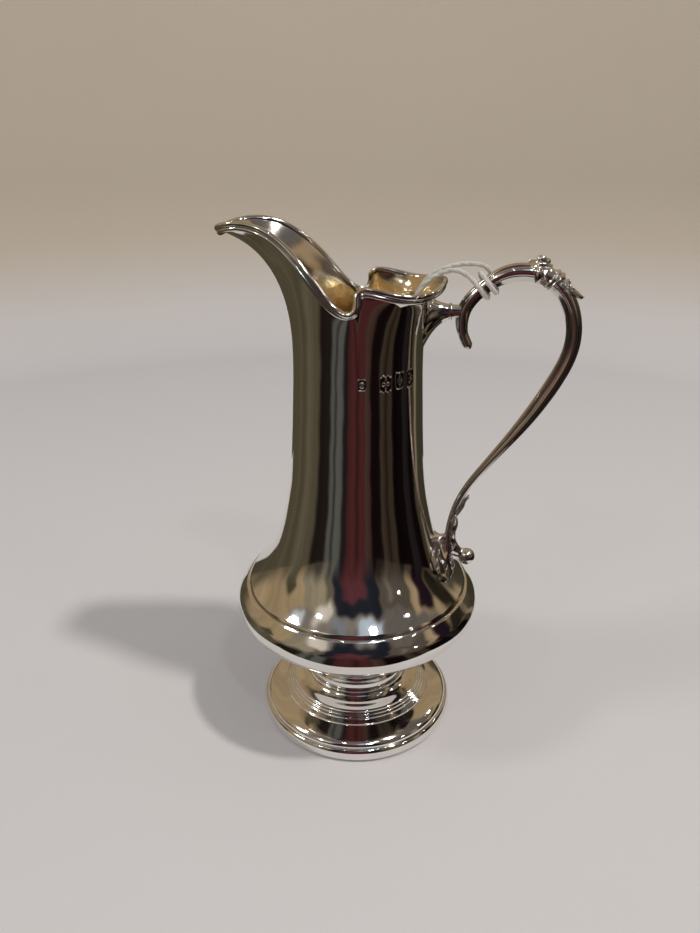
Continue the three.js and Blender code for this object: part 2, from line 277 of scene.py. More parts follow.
# ------ materials
class Nodes:
    """A material's node tree, and short ways of adding to it."""

    def __init__(self, name):
        self.material = bpy.data.materials.new(name)
        self.material.use_nodes = True
        self.tree = self.material.node_tree
        self.shader = self.tree.nodes["Principled BSDF"]

    def node(self, kind, inputs=None, **settings):
        made = self.tree.nodes.new("ShaderNode" + kind)
        for key, value in settings.items():
            setattr(made, key, value)
        for key, value in (inputs or {}).items():
            self.feed(made.inputs[key], value)
        return made

    def feed(self, socket, value):
        if isinstance(value, bpy.types.NodeSocket):
            self.tree.links.new(value, socket)
        else:
            socket.default_value = value

    def math(self, operation, a, b):
        return self.node("Math", {0: a, 1: b}, operation=operation).outputs[0]

    def swayed(self, value, by, middle, amount):
        """value + (by - middle) * amount"""
        away = self.math("MULTIPLY", self.math("SUBTRACT", by, middle), amount)
        return self.math("ADD", value, away)

    def vector(self, operation, a, b=(0.0, 0.0, 0.0), scale=1.0):
        return self.node("VectorMath", {0: a, 1: b, 3: scale}, operation=operation).outputs[0]

    def spot(self):
        return self.node("TexCoord").outputs["Object"]

    def place(self):
        """Position about the jug's axis, in metres."""
        return self.vector("SUBTRACT", self.spot(), (AXIS_X, 0.0, 0.0))

    def parts(self, where):
        return self.node("SeparateXYZ", {0: where}).outputs

    def noise(self, where, scale, detail=2.0, rough=0.5, distortion=0.0):
        made = self.node("TexNoise", {
            "Vector": where, "Scale": scale, "Detail": detail, "Roughness": rough,
            "Distortion": distortion})
        return made.outputs["Fac"]

    def ranged(self, value, low, high, to_low, to_high):
        made = self.node("MapRange", {
            "Value": value, "From Min": low, "From Max": high,
            "To Min": to_low, "To Max": to_high}, interpolation_type="SMOOTHSTEP")
        return made.outputs[0]

    def blend(self, share, a, b):
        made = self.node("Mix", {"Factor": share}, data_type="RGBA")
        for key, value in (("A", a), ("B", b)):
            socket = [s for s in made.inputs if s.name == key and s.type == "RGBA"][0]
            self.feed(socket, value)
        return [s for s in made.outputs if s.type == "RGBA"][0]

    def bump(self, height, depth, normal=None):
        inputs = {"Height": height, "Distance": depth, "Strength": 1.0}
        if normal is not None:
            inputs["Normal"] = normal
        return self.node("Bump", inputs).outputs[0]

    def set(self, **values):
        for key, value in values.items():
            self.feed(self.shader.inputs[key.replace("_", " ")], value)


def hairlines(n, where, along):
    """Fine polishing lines: noise drawn out upwards on the jug's wall."""
    flat = n.vector("MULTIPLY", where, (1.0, 1.0, 0.0))
    round_way = n.vector("SCALE", n.vector("NORMALIZE", flat), scale=34.0)
    upward = n.vector("MULTIPLY", where, (0.0, 0.0, along))
    drawn_out = n.vector("ADD", round_way, upward)
    return n.noise(drawn_out, 3.2, 6.0, 0.72, 0.35)


HOLLOW_DIRT = (0.10, 0.085, 0.07, 1.0)
# near-black colour laid over the low fields of the struck marks
MARK_FIELD_DARK = (0.03, 0.026, 0.022, 1.0)


def metal(name, colour, tarnish, roughness, hair=0.04, smudge=0.05, wave=0.00003, hollows=0.0,
          gilding=None, recess=None):
    """Worn metal. hair and smudge are how much the polishing lines and the smears change the
    roughness, wave is the depth of its slow unevenness, and hollows darkens what is deep.
    gilding is a colour that fades out between two heights. recess is the radius and height of
    a tapering wall, and what is sunk into that wall is dark."""
    n = Nodes(name)
    where = n.place()
    smear = n.noise(where, 70.0, 5.0, 0.6, 0.8)
    lines = hairlines(n, where, 60.0)
    specks = n.noise(where, 900.0, 2.0, 0.6)
    stain = n.ranged(n.noise(where, 38.0, 4.0, 0.62, 0.6), 0.42, 0.75, 0.0, 0.55)
    shade = n.blend(stain, colour, tarnish)
    if hollows:
        point = n.node("NewGeometry").outputs["Pointiness"]
        deep = n.ranged(point, 0.40, 0.495, hollows, 0.0)
        shade = n.blend(deep, shade, HOLLOW_DIRT)
    if recess:
        flat = n.vector("MULTIPLY", where, (1.0, 1.0, 0.0))
        radius = n.node("VectorMath", {0: flat}, operation="LENGTH").outputs["Value"]
        taper = n.math("MULTIPLY", n.math("SUBTRACT", n.parts(where)["Z"], recess[1]), -0.03)
        proud = n.math("SUBTRACT", n.math("SUBTRACT", radius, recess[0]), taper)
        # the low field of each mark, below its rim and ornament, is made almost black
        shade = n.blend(n.ranged(proud, 0.00004, 0.00015, 0.92, 0.0), shade, MARK_FIELD_DARK)
    rough = n.swayed(n.swayed(roughness, smear, 0.42, smudge), lines, 0.5, hair)
    if gilding:
        height = n.swayed(n.parts(where)["Z"], smear, 0.5, 0.012)
        share = n.ranged(height, gilding[1], gilding[2], 1.0, 0.0)
        shade = n.blend(share, shade, gilding[0])
        rough = n.math("ADD", rough, n.math("MULTIPLY", share, 0.07))
    rough = n.math("MAXIMUM", rough, 0.02)
    uneven = n.bump(n.noise(where, 55.0, 1.0, 0.4), wave)
    scratched = n.bump(lines, 0.000004, uneven)
    pitted = n.bump(specks, 0.0000006, scratched)
    n.set(Base_Color=shade, Metallic=1.0, Roughness=rough, Normal=pitted)
    return n.material


def cotton_material():
    n = Nodes("cotton")
    where = n.spot()
    lay = n.node("Mapping", {
        "Vector": n.node("TexCoord").outputs["UV"], "Scale": (26.0, 240.0, 1.0),
        "Rotation": (0.0, 0.0, 0.16)})
    fibres = n.noise(lay.outputs[0], 2.0, 5.0, 0.7, 0.2)
    fuzz = n.noise(where, 5200.0, 3.0, 0.7)
    grime = n.ranged(n.noise(where, 210.0, 3.0, 0.6), 0.4, 0.75, 0.0, 0.7)
    light = n.blend(fibres, (0.66, 0.62, 0.54, 1.0), (0.93, 0.91, 0.86, 1.0))
    shade = n.blend(grime, light, (0.62, 0.57, 0.47, 1.0))
    soft = n.bump(fibres, 0.00012, n.bump(fuzz, 0.00003))
    n.set(Base_Color=shade, Roughness=0.92, Normal=soft, Sheen_Weight=0.35, Sheen_Roughness=0.5)
    return n.material


def card_material():
    n = Nodes("card")
    where = n.spot()
    fibre = n.noise(where, 1400.0, 4.0, 0.65)
    cloud = n.noise(where, 160.0, 3.0, 0.5)
    shade = n.blend(cloud, (0.74, 0.70, 0.60, 1.0), (0.86, 0.83, 0.75, 1.0))
    n.set(Base_Color=shade, Roughness=0.86, Normal=n.bump(fibre, 0.00003))
    return n.material


BRIGHT = (0.90, 0.885, 0.86, 1.0)
SOFT = (0.88, 0.865, 0.84, 1.0)
GREY = (0.72, 0.68, 0.62, 1.0)
SILVER = metal("polished_silver", BRIGHT, (0.80, 0.765, 0.70, 1.0), 0.055)
CAST = metal("cast_silver", SOFT, GREY, 0.10, hair=0.03, smudge=0.07, wave=0.00002, hollows=0.9)
WIRE = metal("wire_silver", BRIGHT, (0.78, 0.74, 0.68, 1.0), 0.085,
             hair=0.03, smudge=0.06, wave=0.00001, hollows=0.7)
LINING = metal("gilt_lining", (0.86, 0.84, 0.81, 1.0), (0.70, 0.655, 0.59, 1.0), 0.085,
               hair=0.05, smudge=0.08, gilding=((0.90, 0.76, 0.52, 1.0), 0.130, 0.140))
MARKED = metal("marked_silver", SOFT, GREY, 0.12, recess=(0.01746, 0.112))
COTTON = cotton_material()
CARD = card_material()


# ------ string and card
STRING_ROUTE = [
    (11.5, -1.6, 113.0), (12.9, -1.6, 122.0), (14.9, -1.6, 130.2), (17.8, -1.6, 134.9),
    (21.4, -1.5, 137.2), (25.1, -1.7, 137.8), (28.6, -2.4, 136.0), (31.1, -3.2, 133.4),
    (32.9, -1.6, 131.3), (33.2, 1.6, 131.6), (32.1, 3.2, 134.1), (31.0, 1.6, 136.6),
    (31.4, -1.6, 136.9), (33.2, -3.2, 134.7), (35.0, -1.6, 132.6), (35.3, 1.6, 132.9),
    (34.2, 3.2, 135.4), (32.5, 2.2, 138.2), (28.4, 1.6, 139.1), (24.6, 1.5, 138.7),
    (20.9, 1.4, 137.4), (17.4, 1.4, 134.9), (14.7, 1.4, 129.8), (12.9, 1.4, 122.0),
    (11.5, 1.4, 113.0)]
STRING_WIDTH = 1.3
TWIST_LENGTH = 5.2  # of one turn of the string's two strands
CARD_X = 12.0
CARD_Z = 104.7
KNOT_Z = 112.35


def swept(path, section_at):
    """A tube round a path. section_at(share, angles) gives its radius, and the frame is
    carried along without twist."""
    tangent = normalised(np.gradient(path, axis=0))
    side = np.cross(tangent[0], [0.0, 0.0, 1.0])
    side = side if np.linalg.norm(side) > 0.1 else np.array([0.0, 1.0, 0.0])
    angles = full_turn(section_at.columns)
    rows = []
    for k, (p, t) in enumerate(zip(path, tangent)):
        side = normalised(side - t * np.dot(side, t))
        other = np.cross(t, side)
        r = section_at(k / (len(path) - 1), angles)
        rows.append(p + np.outer(r * np.cos(angles), side) + np.outer(r * np.sin(angles), other))
    return np.array(rows)


class TwoPly:
    """The outline of two strands twisted round each other."""
    columns = 28

    def __init__(self, width, turns):
        self.width, self.turns = width, turns

    def __call__(self, share, angles):
        lobe = np.abs(np.cos(angles - self.turns * 2 * math.pi * share))
        return self.width / 2 * (0.76 + 0.24 * lobe ** 0.8)


def build_string():
    path = spline_through(STRING_ROUTE, 560)
    length = np.linalg.norm(np.diff(path, axis=0), axis=1).sum()
    work = Patchwork(swept(path, TwoPly(STRING_WIDTH, length / TWIST_LENGTH)))
    string = piece(work.build("string_two_ply"), [COTTON], ["tag_string"])
    return string, path, length


def build_knot():
    """The two ends of the string are knotted together through the hole in the card."""
    t = np.linspace(0, 2 * math.pi, 150)[:-1]
    swing = 1.0 + 0.30 * np.cos(3 * t)
    loops = xyz(
        CARD_X + 0.62 * np.cos(2 * t) * swing, 1.55 * np.sin(2 * t) * swing,
        KNOT_Z + 0.62 * np.sin(3 * t))
    path = np.vstack([loops, loops[:1]])
    work = Patchwork(swept(path, TwoPly(0.9, 4))[:-1], looped=True)
    return piece(work.build("string_knot"), [COTTON])


def build_card():
    """A small tag with rounded corners and a punched hole, curled a little."""
    half, thick, corner, punch = np.array([4.5, 7.5]), 0.5, 1.3, 0.9
    turn = full_turn(96)
    ray = np.stack([np.cos(turn), np.sin(turn)], axis=-1)
    edge = ray * (1 / np.maximum(np.abs(ray) / half, 1e-6)).min(axis=1)[:, None]
    inner = np.clip(edge, corner - half, half - corner)
    past = np.minimum(np.linalg.norm(edge - inner, axis=1), corner)
    edge = inner + normalised(edge - inner) * past[:, None]
    hole = np.array([0.0, half[1] - 2.2]) + punch * ray
    rings = [hole + (edge - hole) * share for share in np.linspace(0, 1, 9)]
    faces = []
    for side, order in ((1, rings), (-1, rings[::-1])):
        for ring in order:
            curl = 0.0072 * ring[:, 0] ** 2
            faces.append(xyz(CARD_X + side * thick / 2 + curl, ring[:, 0], CARD_Z + ring[:, 1]))
    work = Patchwork(np.array(faces), looped=True)
    return piece(work.build("string_card"), [CARD], ["tag_card"])


string, string_path, string_length = build_string()
knot = build_knot()
card = build_card()
to_frame(STRING_ROUTE[0]).tolist()
to_frame(string_path[::8]).tolist()


# ------ outline of the mouth
HALF_LIP = [
    (-36.4, 0.0, 146.8), (-35.3, 4.9, 147.6), (-32.2, 8.7, 148.6), (-28.0, 9.9, 149.0),
    (-22.4, 11.5, 147.8), (-17.5, 12.9, 145.0), (-12.2, 15.2, 140.1), (-7.2, 16.9, 134.1),
    (-3.4, 17.9, 130.2), (-0.6, 18.7, 129.0), (1.3, 19.0, 129.8), (2.0, 18.7, 131.7),
    (1.7, 18.1, 133.8), (2.7, 17.6, 135.0), (4.8, 17.6, 135.2), (8.4, 17.8, 134.5),
    (12.6, 17.4, 133.5), (17.0, 15.2, 133.3), (20.9, 9.4, 134.0), (22.6, 0.0, 134.9)]
LIP = Curve(HALF_LIP + [(x, -y, z) for x, y, z in HALF_LIP[-2:0:-1]], closed=True)
FLARE = 108.0  # above this the neck opens into the mouth
COLUMNS = 480

NECK = Curve([
    (33.2, 46.4), (29.5, 50.0), (25.9, 55.0), (23.3, 61.0), (21.2, 69.0), (19.5, 78.0),
    (18.4, 91.0), (17.6, 108.0), (17.2, 122.0), (17.0, 136.0), (16.9, 150.0)])
NECK_TABLE = NECK.at(np.linspace(0, 1, 6000))


def neck_radius(height):
    return np.interp(height, NECK_TABLE[:, 1], NECK_TABLE[:, 0])


lip_at = np.arange(COLUMNS) / COLUMNS
lip_line = LIP.at(lip_at)
lip_angle = np.unwrap(np.arctan2(lip_line[:, 1], lip_line[:, 0]))
lip_angle = lip_angle + 2 * math.pi * lip_at  # without its full turn, so that it closes
facing_angle = evened(lip_angle, 0.012) - 2 * math.pi * lip_at
facing = np.stack([np.cos(facing_angle), np.sin(facing_angle)], axis=-1)
soft_lip = evened(lip_line, 0.034)
at_spout = bump_at(np.abs(lip_at - np.round(lip_at)), 0.0, 0.20)


def wall_ring(rise):
    """One ring of the outside of the mouth, with rise from 0 at the neck to 1 at the lip. The
    small fold beside the spout is only in the topmost part."""
    edge = soft_lip + (lip_line - soft_lip) * rise ** 12
    opening = 0.75 * rise ** 3 + 0.25 * rise ** (20 - 11 * at_spout)
    height = FLARE + (edge[:, 2] - FLARE) * rise
    across = neck_radius(height)[:, None] * facing
    across = across + (edge[:, :2] - across) * opening[:, None]
    return np.column_stack([across, height])


def neck_rings(outline):
    return np.array([np.column_stack([r * facing, np.full(COLUMNS, z)]) for r, z in outline])


def outward_of(grid):
    """Outward normals of rings of points, the lowest first."""
    up = normalised(np.gradient(grid, axis=0))
    ahead = np.roll(grid, -4, axis=1) - np.roll(grid, 4, axis=1)
    out = normalised(np.cross(up, normalised(ahead)))
    if np.einsum("ij,ij->i", out[0, :, :2], grid[0, :, :2]).sum() < 0:
        out = -out
    return out


# ------ body
SEAM_TOP = 46.9  # end of the incised line above the girdle
WAIST = 60.0  # above this the wall is nearly straight
FLOOR = 19.4  # inside


def build_body():
    bowl = spline_through([
        (14.4, 18.5), (17.8, 21.2), (22.5, 25.2), (27.2, 29.1), (31.0, 32.3), (33.6, 34.7),
        (35.1, 36.4), (36.05, 38.35), (36.5, 40.4), (36.3, 41.9), (35.75, 43.2), (34.9, 44.4),
        (33.55, 46.0)], 96)
    seam = rounded([
        (33.55, 46.0), (33.28, 46.20), (32.90, 46.02), (32.76, 46.40), (32.45, SEAM_TOP)], 0.08, 4)
    outline = np.vstack([[(8.0, 18.45)], bowl, seam[1:-1]])
    heights = np.concatenate([
        SEAM_TOP + (WAIST - SEAM_TOP) * np.linspace(0, 1, 30)[:-1], np.linspace(WAIST, FLARE, 44)])
    mouth = [wall_ring(1 - (1 - s) ** 1.35) for s in np.linspace(0, 1, 76)[1:]]
    wall = np.column_stack([neck_radius(heights), heights])
    outside = np.concatenate([neck_rings(outline), neck_rings(wall), mouth])
    out = outward_of(outside)

    # The sheet was raised by hand, so the turned part is a little uneven.
    turn = np.arctan2(outside[..., 1], outside[..., 0])
    z = outside[..., 2]
    wobble = 0.030 * np.sin(5 * turn + 0.13 * z) + 0.022 * np.sin(11 * turn - 0.31 * z + 1.0)
    wobble = wobble + 0.016 * np.sin(17 * turn + 0.55 * z + 2.0)
    amount = 0.30 + 0.70 * bump_at(z, 36.0, 9.0)
    outside = outside + out * (wobble * amount)[..., None]

    first = len(outline) - 2  # the lining follows the wall from the seam up
    inner = outside[first:] - out[first:] * SHEET
    low = spline_through([
        (0.4, FLOOR), (13.8, 19.5), (17.2, 22.0), (21.9, 26.0), (26.6, 30.0), (30.3, 33.0),
        (33.6, 36.2), (35.1, 38.8), (35.6, 40.5), (35.2, 42.2), (34.1, 44.1), (32.4, 45.7)], 60)
    lining = np.concatenate([inner[::-1], neck_rings(low[::-1])])
    lining[:, :, 2] = np.maximum(lining[:, :, 2], FLOOR)
    work = Patchwork(
        np.concatenate([outside, lining]),
        material=np.repeat([0, 1], [len(outside), len(lining)]))
    piece(work.build("raised_body"), [SILVER, LINING], ["upper_body", "lower_bowl"])
    return outside[-1], out[-1]


rim, sheet_facing = build_body()


def build_lip_wire():
    """Two reeds: one rolled over the edge of the sheet, one below it outside."""
    section = np.vstack([
        [(-0.96, -1.3)], arc((-0.30, -0.25), 0.70, 195, -28, 16), [(0.36, -0.62)],
        arc((0.62, -1.02), 0.55, 118, -85, 12), [(0.30, -1.66), (0.0, -1.5), (-0.5, -1.4)]])
    ahead = normalised(np.roll(rim, -3, axis=0) - np.roll(rim, 3, axis=0))
    rim_out = evened(sheet_facing, 0.010)
    rim_out = normalised(rim_out - ahead * np.einsum("ij,ij->i", rim_out, ahead)[:, None])
    rim_up = np.cross(ahead, rim_out)
    rim_up = rim_up * np.sign(rim_up[:, 2].mean())
    work = Patchwork(np.array([rim + rim_out * o + rim_up * u for o, u in section]), looped=True)
    piece(work.build("reeded_lip"), [WIRE], ["lip_wire"])


# ------ foot
def build_foot():
    band = np.vstack([
        [(27.4, 0.0), (28.9, 0.0)], arc((29.0, 0.5), 0.5, -80, -30, 4),
        spline_through([(29.72, 0.6), (30.05, 1.5), (30.09, 2.5), (29.85, 3.4), (29.42, 3.98)], 16),
        [(29.15, 4.12), (27.4, 4.12), (27.4, 2.0)]])
    turned("foot_band", band, ["foot_rim_wire"])

    dome = spline_through([
        (28.84, 4.30), (28.66, 4.84), (28.34, 5.26), (27.70, 5.72), (26.6, 6.26), (25.1, 6.88),
        (23.50, 7.46)], 44)
    steps = rounded([
        (23.40, 7.50), (23.08, 7.60), (22.98, 8.02), (21.66, 8.62), (21.56, 9.02), (20.94, 9.30),
        (20.84, 9.70), (20.26, 9.96), (20.16, 10.40), (19.86, 10.56)], 0.13, 5)
    trumpet = spline_through([
        (19.80, 10.59), (18.8, 10.82), (17.6, 11.05), (16.6, 11.42), (15.8, 11.95), (15.3, 12.5),
        (15.08, 13.05)], 28)
    under = rounded([
        (14.1, 13.05), (14.8, 11.6), (16.4, 10.7), (18.5, 10.1), (19.8, 9.7), (20.9, 8.8),
        (22.0, 7.6), (23.2, 6.9), (25.0, 6.3), (27.0, 5.2), (28.0, 4.16)], 0.5, 4)
    turned("spun_foot", np.vstack([[(28.86, 4.16)], dome, steps, trumpet, under]), ["foot_dome"])

    knop = np.vstack([
        [(13.3, 13.1), (14.9, 13.1)], arc((15.0, 13.42), 0.31, -80, 95, 10), [(14.72, 13.86)],
        spline_through([(14.6, 14.0), (14.42, 14.8), (14.38, 16.2), (14.5, 17.6), (14.75, 18.25)], 14),
        [(14.6, 18.5), (13.3, 18.5)]])
    turned("stem_knop", knop, ["stem_collar"])


build_lip_wire()
build_foot()


# ------ handle
SCROLL = Curve([
    (29.5, 0.4, 117.5), (27.4, 1.4, 122.3), (27.7, 1.8, 128.0), (31.9, 1.85, 133.3),
    (37.6, 2.2, 136.8), (44.5, 2.3, 137.1), (50.5, 2.15, 134.0), (54.6, 2.0, 127.4),
    (55.4, 2.0, 119.0), (52.5, 2.05, 110.3), (46.4, 1.85, 99.3), (38.6, 1.3, 88.0),
    (31.4, 1.05, 77.4), (28.1, 1.0, 69.4), (27.0, 1.0, 63.4)])


def scroll_frame(along):
    """Middle with half thickness, and outward direction of the scroll. along counts its points."""
    t = SCROLL.at_share(along)
    ahead = SCROLL.at(np.minimum(t + 0.002, 1)) - SCROLL.at(np.maximum(t - 0.002, 0))
    heading = normalised(ahead[..., [0, 2]])
    return SCROLL.at(t), np.stack([-heading[..., 1], heading[..., 0]], axis=-1)


def on_scroll(along, degrees, proud):
    """A point over the scroll: 0 degrees is the outside of its bend, -90 its near side."""
    along, degrees, proud = np.broadcast_arrays(along, degrees, proud)
    here, outward = scroll_frame(along)
    angle = np.radians(degrees)
    radius = here[..., 1] + proud
    lift, across = np.cos(angle) * radius, np.sin(angle) * radius * 1.08
    return xyz(here[..., 0] + outward[..., 0] * lift, across, here[..., 2] + outward[..., 1] * lift)


def flutes(degrees):
    """The scroll's section: a broad reed outside between two grooves, smooth sides, and a
    flat inside with a groove along it."""
    a = np.abs((degrees + 180.0) % 360.0 - 180.0)
    section = 0.045 * bump_at(a, 0.0, 26.0) - 0.17 * bump_at(a, 37.0, 6.5)
    section = section + 0.040 * bump_at(a, 76.0, 26.0)
    flat = smooth_step(a, 98.0, 105.0) * (1 - smooth_step(a, 164.0, 170.0))
    section = section + flat * (0.78 / np.maximum(np.cos(np.radians(a - 134.0)), 0.5) - 1.0 + 0.08)
    return section - 0.08 * bump_at(a, 101.0, 4.0) - 0.16 * bump_at(a, 180.0, 10.0)


def build_scroll():
    along = np.concatenate([
        np.linspace(0, 0.03, 10)[:-1], np.linspace(0.03, 0.96, 400)[:-1], np.linspace(0.96, 1.0, 14)])
    a, d = grid_of(along, np.arange(0, 360, 3.0))
    thick = scroll_frame(a)[0][..., 1]
    depth = smooth_step(a, 0.03, 0.16) * (1 - 0.55 * smooth_step(a, 0.62, 0.90))
    proud = thick * flutes(d) * depth
    blunt = 1.30 * np.sqrt(np.clip((a + 0.001) / 0.016, 0, 1)) - thick
    proud = proud + np.maximum(blunt, 0) * (1 - smooth_step(a, 0.045, 0.10))
    work = Patchwork(on_scroll(a, d, proud))
    cast(work, "handle_scroll_cast", ["handle_scroll"])


CREST_START = 0.333  # place along the scroll
SUNK = -0.45  # the crest's surface where it has no relief


def leaf_reach(along):
    """Half angle of the big crest leaf, with two pointed tips hanging down each side."""
    places = [CREST_START, 0.341, 0.349, 0.354, 0.3595, 0.3655, 0.374, 0.383, 0.389, 0.394,
              0.401, 0.410, 0.414]
    angles = [0, 40, 84, 116, 136, 118, 88, 100, 116, 124, 98, 52, 0]
    return np.interp(along, places, angles)


def knob(far):
    """A dome with a height of 1 that ends where far, a squared distance, is 1."""
    return np.sqrt(np.clip(1 - far, 0, 1))


# The two binding ribs: place along the scroll, height and half width.
RIBS = ((0.3990, 1.22, 0.0058), (0.4095, 1.28, 0.0062))
# The lobes of the scaly part behind them: place, angle, height, and half size in both.
SCALES = (
    (0.4185, 36, 1.30, 0.0060, 17), (0.4215, 66, 1.05, 0.0058, 15), (0.4190, 0, 1.00, 0.0050, 13),
    (0.4370, 46, 1.25, 0.0060, 16), (0.4340, 12, 1.15, 0.0060, 15), (0.4460, 62, 0.85, 0.0055, 14),
    (0.4490, 24, 0.95, 0.0060, 14))


def crest_height(a, d):
    """Height of the crest's relief over the scroll, below zero where there is none."""
    side = np.abs(d)
    step = (a - CREST_START) * 100
    edge = smooth_step(leaf_reach(a) - side, -3.0, 9.0)
    vein = 0.22 * bump_at(side, 0.0, 7.0)
    vein = vein + 0.20 * bump_at(side - 22 - 30 * np.abs(step - 2.9), 0.0, 9.0)
    facets = 0.30 * bump_at(a, 0.358 + 0.00003 * side, 0.0045) + 0.24 * bump_at(a, 0.378, 0.0045)
    leaf = edge * (1.02 + facets - vein * 0.8)
    height = SUNK + leaf * (0.55 + 0.45 * np.minimum((a - CREST_START) / 0.012, 1.0))

    for start, tall, wide in RIBS:
        middle = start + 0.0085 * np.cos(np.radians(side)) - 0.0020
        rib = SUNK + (tall + 0.35) * knob(((a - middle) / wide) ** 2)
        height = np.maximum(height, np.where(side < 128, rib, SUNK))

    base = smooth_step(a, 0.408, 0.416) * (1 - smooth_step(a, 0.452, 0.470))
    reach = 96 - 900 * np.clip(a - 0.418, 0, 1) + 9 * np.sin((a - 0.416) * 330)
    height = np.maximum(height, SUNK + base * smooth_step(reach - side, -4, 10) * 0.78)
    for place, angle, tall, long, wide in SCALES:
        scale = knob(((a - place) / long) ** 2 + ((side - angle) / wide) ** 2)
        height = np.maximum(height, SUNK + (tall - SUNK) * scale)
    return height - 0.40 * bump_at(a, 0.4215, 0.0020) * bump_at(side, 66, 6.0)


def build_crest():
    a, d = grid_of(np.linspace(0.331, 0.4715, 210), np.linspace(-150, 150, 150))
    work = Patchwork()
    work.add_leaf(on_scroll(a, d, crest_height(a, d)), on_scroll(a, d, -0.9))
    cast(work, "crest_acanthus", ["crest_leaf", "crest_band_1", "crest_band_2"])

    # The small saddle leaf that stands over the crest, with its berries.
    s, b = grid_of(np.linspace(0, 1, 60), np.linspace(-1, 1, 33))
    spread = 32 * np.sin(np.pi * np.clip(0.01 + 0.88 * s, 0, 1) ** 1.25) ** 0.9 + 1.5
    lift = 0.80 + 0.42 * s + 0.20 * np.cos(3 * np.pi * b) * np.sin(np.pi * s) - 0.30 * b * b
    place = 0.336 + 0.050 * s
    work = Patchwork()
    work.add_leaf(on_scroll(place, b * spread, lift), on_scroll(place, b * spread, lift - 0.42))
    for place, angle, lifted, size, stretch in (
            (0.3600, -5, 1.45, 1.14, (1.12, 1.0, 0.92)), (0.3725, -1, 1.50, 0.82, (1.0, 1.1, 0.9)),
            (0.3590, 26, 0.95, 0.62, (1.0, 1.0, 1.0)), (0.3590, -30, 0.95, 0.60, (1.0, 1.0, 1.0))):
        work.add(berry(on_scroll(place, angle, lifted), size, stretch))
    cast(work, "crest_berries", ["crest_rosette"])

    # The pointed leaf that ends the crest and stands off the back of the scroll.
    s, b = grid_of(np.linspace(0, 1, 70), np.linspace(-1, 1, 31))
    spread = 52 * (1 - s) ** 0.62 + 2.0
    lift = 0.30 + 0.30 * np.sin(np.pi * s) + 1.55 * s ** 2.4
    lift = lift - 0.20 * np.abs(b) ** 1.5 + 0.10 * np.cos(4 * np.pi * b)
    below = np.minimum(lift - 0.32, -0.2 + 2.6 * np.clip(s - 0.42, 0, 1) ** 1.6)
    place = 0.4400 + 0.0375 * s
    work = Patchwork()
    work.add_leaf(on_scroll(place, b * spread, lift), on_scroll(place, b * spread, below))
    cast(work, "crest_back_leaf", ["back_leaf"])


def berry(centre, radius, stretch=(1.0, 1.0, 1.0)):
    """Rings of a slightly ribbed bead."""
    turn = full_turn(28)
    latitude = np.linspace(-math.pi / 2 + 0.1, math.pi / 2 - 0.1, 15)
    rings = circles(np.cos(latitude), np.sin(latitude), turn)
    rings[..., :2] = rings[..., :2] * (1 + 0.03 * np.cos(5 * turn))[:, None]
    return centre + rings * radius * stretch


rise_line = np.array([wall_ring(r)[COLUMNS // 2] for r in np.linspace(0, 1, 200)])
body_profile = np.vstack([
    [(r, z) for r, z in NECK_TABLE[::20] if z < FLARE],
    rise_line[:, [0, 2]]])


def wall_radius(height):
    """Outside of the plain part of the body on the handle's side."""
    return np.interp(height, body_profile[:, 1], body_profile[:, 0])


def build_upper_bracket():
    """Trumpet-shaped socket between the neck and the side of the scroll."""
    half_wide, end_x, end_z, collar_x, collar_z = 4.6, 26.6, 127.25, 24.0, 127.2
    s, turn = grid_of(np.linspace(0, 1, 64), full_turn(64))
    up, side = np.cos(turn), np.sin(turn)
    ease = 1 - (1 - s) ** 2.7
    foot_z = 124.4 + np.where(up > 0, 6.3, 7.0) * up
    z = foot_z + (end_z + 1.75 * up - foot_z) * ease
    reed = 1 + 0.055 * np.cos(8 * turn) * (1 - s) ** 0.6 * smooth_step(s, 0.02, 0.2)
    y = side * (half_wide + (1.75 - half_wide) * ease) * reed
    start = np.sqrt(np.maximum(wall_radius(foot_z) ** 2 - (half_wide * side) ** 2, 1.0)) - 0.15
    work = Patchwork(xyz(start + (end_x - start) * s, y, z))
    k, ring = grid_of(np.linspace(0, 2 * math.pi, 15)[:-1], full_turn(48))
    r = 1.86 + 0.32 * np.cos(k)
    collar = xyz(collar_x + 0.42 * np.sin(k), r * np.sin(ring), collar_z + r * np.cos(ring))
    work.add(collar, looped=True)
    cast(work, "handle_socket", ["handle_upper_bracket"])


ROOT = 60.8  # height where the lower bracket meets the scroll
slope_z = np.linspace(67.0, 46.5, 300)
slope_r = neck_radius(slope_z)
slope_far = np.concatenate([[0.0], np.cumsum(np.hypot(np.diff(slope_z), np.diff(slope_r)))])
slope_far = slope_far - np.interp(-ROOT, -slope_z, slope_far)


def shoulder_point(across, down, proud):
    """A point over the shoulder: across is millimetres round it from the handle's side, down
    is millimetres down its slope from the root, and proud is how far it stands off."""
    z = np.interp(down, slope_far, slope_z)
    r = wall_radius(z)
    steep = (wall_radius(z + 0.3) - wall_radius(z - 0.3)) / 0.6
    tilt = 1 / np.sqrt(1 + steep ** 2)
    angle = across / r
    far = r + proud * tilt
    return xyz(far * np.cos(angle), far * np.sin(angle), z - proud * tilt * steep)


